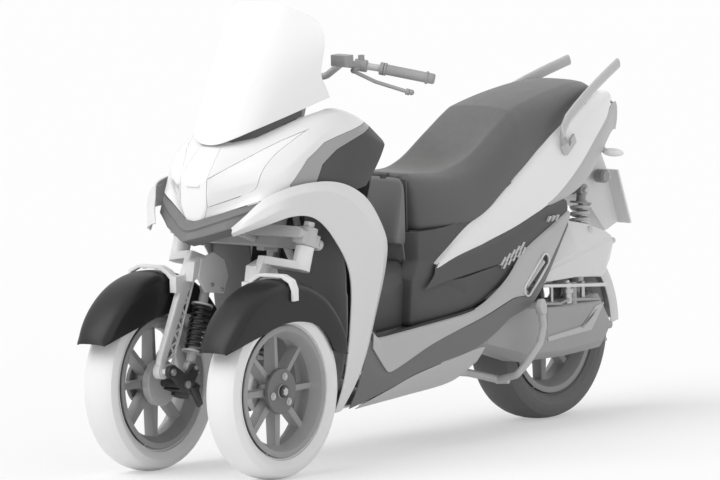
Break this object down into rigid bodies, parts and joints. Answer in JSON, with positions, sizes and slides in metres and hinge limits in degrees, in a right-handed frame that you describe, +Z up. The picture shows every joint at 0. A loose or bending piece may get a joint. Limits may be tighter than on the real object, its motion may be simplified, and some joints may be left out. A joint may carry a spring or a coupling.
{
  "type": "three-wheeled scooter",
  "caption": "Leaning scooter with paired steered front wheels on trailing links, one driven rear wheel, tall screen, step-through floor, stepped seat and centre stand.",
  "frame": {"origin": "on the ground, under the middle of the bounding box", "axes": "+Z up, the front faces -Y, +X is the rider's left"},
  "size_m": [0.7954, 2.31, 1.44],
  "materials": {
    "shell_white": "gloss",
    "shell_light": "satin",
    "trim_grey": "matte",
    "trim_dark": "matte",
    "mudguard_black": "satin",
    "screen": "gloss",
    "lamp": "gloss",
    "metal_white": "satin",
    "metal_light": "satin",
    "metal_grey": "satin",
    "metal_dark": "satin",
    "engine_alloy": "satin",
    "steel": "satin",
    "tyre_white": "matte",
    "tyre_dark": "matte",
    "grip_rubber": "matte",
    "seat_cover": "matte"
  },
  "bodies": {
    "chassis": {"air_cleaner": "shell_light", "belly_pan": "shell_light", "cockpit_sides": "trim_dark", "cowl_bands": "shell_light", "dashboard": "trim_dark", "engine_block": "engine_alloy", "exhaust": "steel", "footwell": "trim_grey", "frame": "metal_light", "front_cowl": "shell_white", "grab_rails": "metal_light", "headlamps": "lamp", "lean_linkage": "metal_light", "lower_trims": "trim_dark", "nose_chin": "trim_grey", "plate_holder": "shell_light", "rear_mudguard": "shell_light", "rear_shocks": "metal_grey", "side_fairings": "shell_light", "side_skirts": "shell_light", "skirt_bands": "trim_grey", "splash_shield": "trim_grey", "storage_tub": "trim_dark", "swing_arm": "engine_alloy", "tail_lamps": "lamp", "tail_lowers": "shell_light", "tail_panels": "shell_white", "transmission_case": "engine_alloy", "windscreen": "screen"},
    "handlebar": {"handlebar": "metal_light", "grips": "grip_rubber", "hand_controls": "metal_grey"},
    "rear_wheel": {"rear_rim": "metal_grey", "rear_tyre": "tyre_dark", "rear_disc": "steel"},
    "seat": {"seat_base": "trim_dark", "seat_cushion": "seat_cover"},
    "centre_stand": {"centre_stand": "metal_light"},
    "left_peg": {"left_peg": "metal_light"},
    "right_peg": {"right_peg": "metal_light"},
    "left_knuckle": {"left_upright": "metal_white", "left_link": "metal_dark", "left_shock": "metal_dark", "left_mudguard": "mudguard_black"},
    "left_front_wheel": {"left_front_rim": "metal_grey", "left_front_tyre": "tyre_white", "left_front_disc": "steel"},
    "right_knuckle": {"right_upright": "metal_white", "right_link": "metal_dark", "right_shock": "metal_dark", "right_mudguard": "mudguard_black"},
    "right_front_wheel": {"right_front_rim": "metal_grey", "right_front_tyre": "tyre_white", "right_front_disc": "steel"}
  },
  "joints": [
    {"name": "handlebar_steer", "type": "hinge", "parent": "chassis", "child": "handlebar", "pos_m": [0, -0.47856, 0.81068], "axis": [0, 0.342, 0.9397], "range_deg": [-35, 35]},
    {"name": "left_knuckle_steer", "type": "hinge", "parent": "chassis", "child": "left_knuckle", "pos_m": [0.238, -0.668, 0.72], "axis": [0, 0.342, 0.9397], "range_deg": [-35.2, 35.2]},
    {"name": "right_knuckle_steer", "type": "hinge", "parent": "chassis", "child": "right_knuckle", "pos_m": [-0.238, -0.668, 0.72], "axis": [0, 0.342, 0.9397], "range_deg": [-35.2, 35.2]},
    {"name": "left_front_wheel_spin", "type": "hinge", "parent": "left_knuckle", "child": "left_front_wheel", "pos_m": [0.238, -0.855, 0.2745], "axis": [1, 0, 0], "continuous": true},
    {"name": "right_front_wheel_spin", "type": "hinge", "parent": "right_knuckle", "child": "right_front_wheel", "pos_m": [-0.238, -0.855, 0.2745], "axis": [1, 0, 0], "continuous": true},
    {"name": "rear_wheel_spin", "type": "hinge", "parent": "chassis", "child": "rear_wheel", "pos_m": [0, 0.79, 0.274], "axis": [1, 0, 0], "continuous": true},
    {"name": "seat_lift", "type": "hinge", "parent": "chassis", "child": "seat", "pos_m": [0, 0.002, 0.838], "axis": [1, 0, 0], "range_deg": [0, 65]},
    {"name": "centre_stand_swing", "type": "hinge", "parent": "chassis", "child": "centre_stand", "pos_m": [0, 0.245, 0.215], "axis": [-1, 0, 0], "range_deg": [0, 75], "stiffness_Nm_per_rad": 4, "springref_deg": -68.75},
    {"name": "left_peg_fold", "type": "hinge", "parent": "chassis", "child": "left_peg", "pos_m": [0.206, 0.457, 0.446], "axis": [0, 0.6171, -0.7869], "range_deg": [0, 90]},
    {"name": "right_peg_fold", "type": "hinge", "parent": "chassis", "child": "right_peg", "pos_m": [-0.206, 0.457, 0.446], "axis": [0, -0.6171, 0.7869], "range_deg": [0, 90]}
  ],
  "couplings": [
    {"joint": "left_knuckle_steer", "follows": "handlebar_steer", "ratio": 1},
    {"joint": "right_knuckle_steer", "follows": "handlebar_steer", "ratio": 1}
  ]
}
